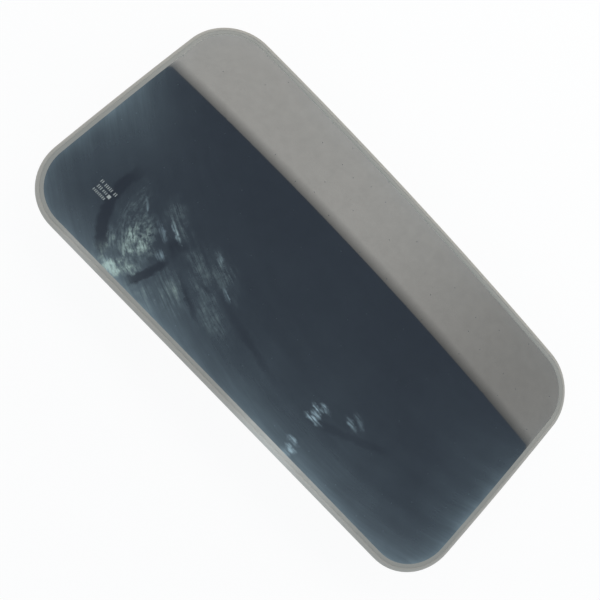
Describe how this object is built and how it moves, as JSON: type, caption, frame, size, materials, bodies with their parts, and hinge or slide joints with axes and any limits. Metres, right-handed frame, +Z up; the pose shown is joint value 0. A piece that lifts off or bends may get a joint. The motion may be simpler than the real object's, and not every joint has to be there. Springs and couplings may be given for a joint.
{
  "type": "deck hatch",
  "caption": "Low deck hatch with a crowned tinted glass lid in a grey edge moulding, friction-hinged to a flanged base frame and closed by quarter-turn latches.",
  "frame": {"origin": "centre of the lid's outline, at the bottom of the spigot and trim ring", "axes": "+X along the long side, +Y towards the hinges, +Z up through the glass"},
  "size_m": [0.718, 0.37, 0.0903],
  "materials": {
    "tinted_glass": "dark grey-blue tinted toughened glass, reflective",
    "edge_rubber": "matt light grey extruded rubber",
    "adhesive": "black polyurethane glazing adhesive",
    "anodised_aluminium": "satin silver anodised",
    "seal_rubber": "matt black EPDM",
    "stainless_steel": "satin stainless",
    "hinge_casting": "tumbled cast aluminium",
    "latch_casting": "dark grey powder coat",
    "handle_nylon": "black glass-filled nylon",
    "bearing_nylon": "natural nylon",
    "friction_disc": "dark friction material",
    "trim_plastic": "fine-grained off-white ABS"
  },
  "bodies": {
    "base": {"base_frame": "anodised_aluminium", "trim_ring": "trim_plastic", "trim_screws": "stainless_steel", "hinge_bracket_left": "hinge_casting", "hinge_bracket_right": "hinge_casting", "hinge_bracket_screws": "stainless_steel", "hinge_pin_left": "stainless_steel", "hinge_pin_right": "stainless_steel", "hinge_friction_washers": "friction_disc", "hinge_lock_nuts": "stainless_steel", "keeper_left": "stainless_steel", "keeper_right": "stainless_steel", "keeper_screws": "stainless_steel"},
    "lid": {"glass_pane": "tinted_glass", "edge_moulding": "edge_rubber", "bonding_bead": "adhesive", "lid_gasket": "seal_rubber", "lid_rail_front": "anodised_aluminium", "lid_rail_back": "anodised_aluminium", "lid_rail_left": "anodised_aluminium", "lid_rail_right": "anodised_aluminium", "hinge_arm_left": "hinge_casting", "hinge_arm_right": "hinge_casting", "hinge_arm_screws": "stainless_steel", "hinge_bushes": "bearing_nylon", "latch_body_left": "latch_casting", "latch_body_right": "latch_casting", "latch_body_screws": "stainless_steel"},
    "left_handle": {"handle_left": "handle_nylon", "latch_spindle_left": "stainless_steel", "latch_dog_left": "stainless_steel", "latch_washer_left": "bearing_nylon", "handle_screw_left": "stainless_steel"},
    "right_handle": {"handle_right": "handle_nylon", "latch_spindle_right": "stainless_steel", "latch_dog_right": "stainless_steel", "latch_washer_right": "bearing_nylon", "handle_screw_right": "stainless_steel"}
  },
  "joints": [
    {"name": "lid_hinge", "type": "hinge", "parent": "base", "child": "lid", "pos_m": [0, 0.167, 0.05937], "axis": [-1, 0, 0], "range_deg": [0, 75]},
    {"name": "left_handle_turn", "type": "hinge", "parent": "lid", "child": "left_handle", "pos_m": [-0.19, -0.112, 0.05], "axis": [0, 0, -1], "range_deg": [0, 90]},
    {"name": "right_handle_turn", "type": "hinge", "parent": "lid", "child": "right_handle", "pos_m": [0.19, -0.112, 0.05], "axis": [0, 0, 1], "range_deg": [0, 90]}
  ]
}
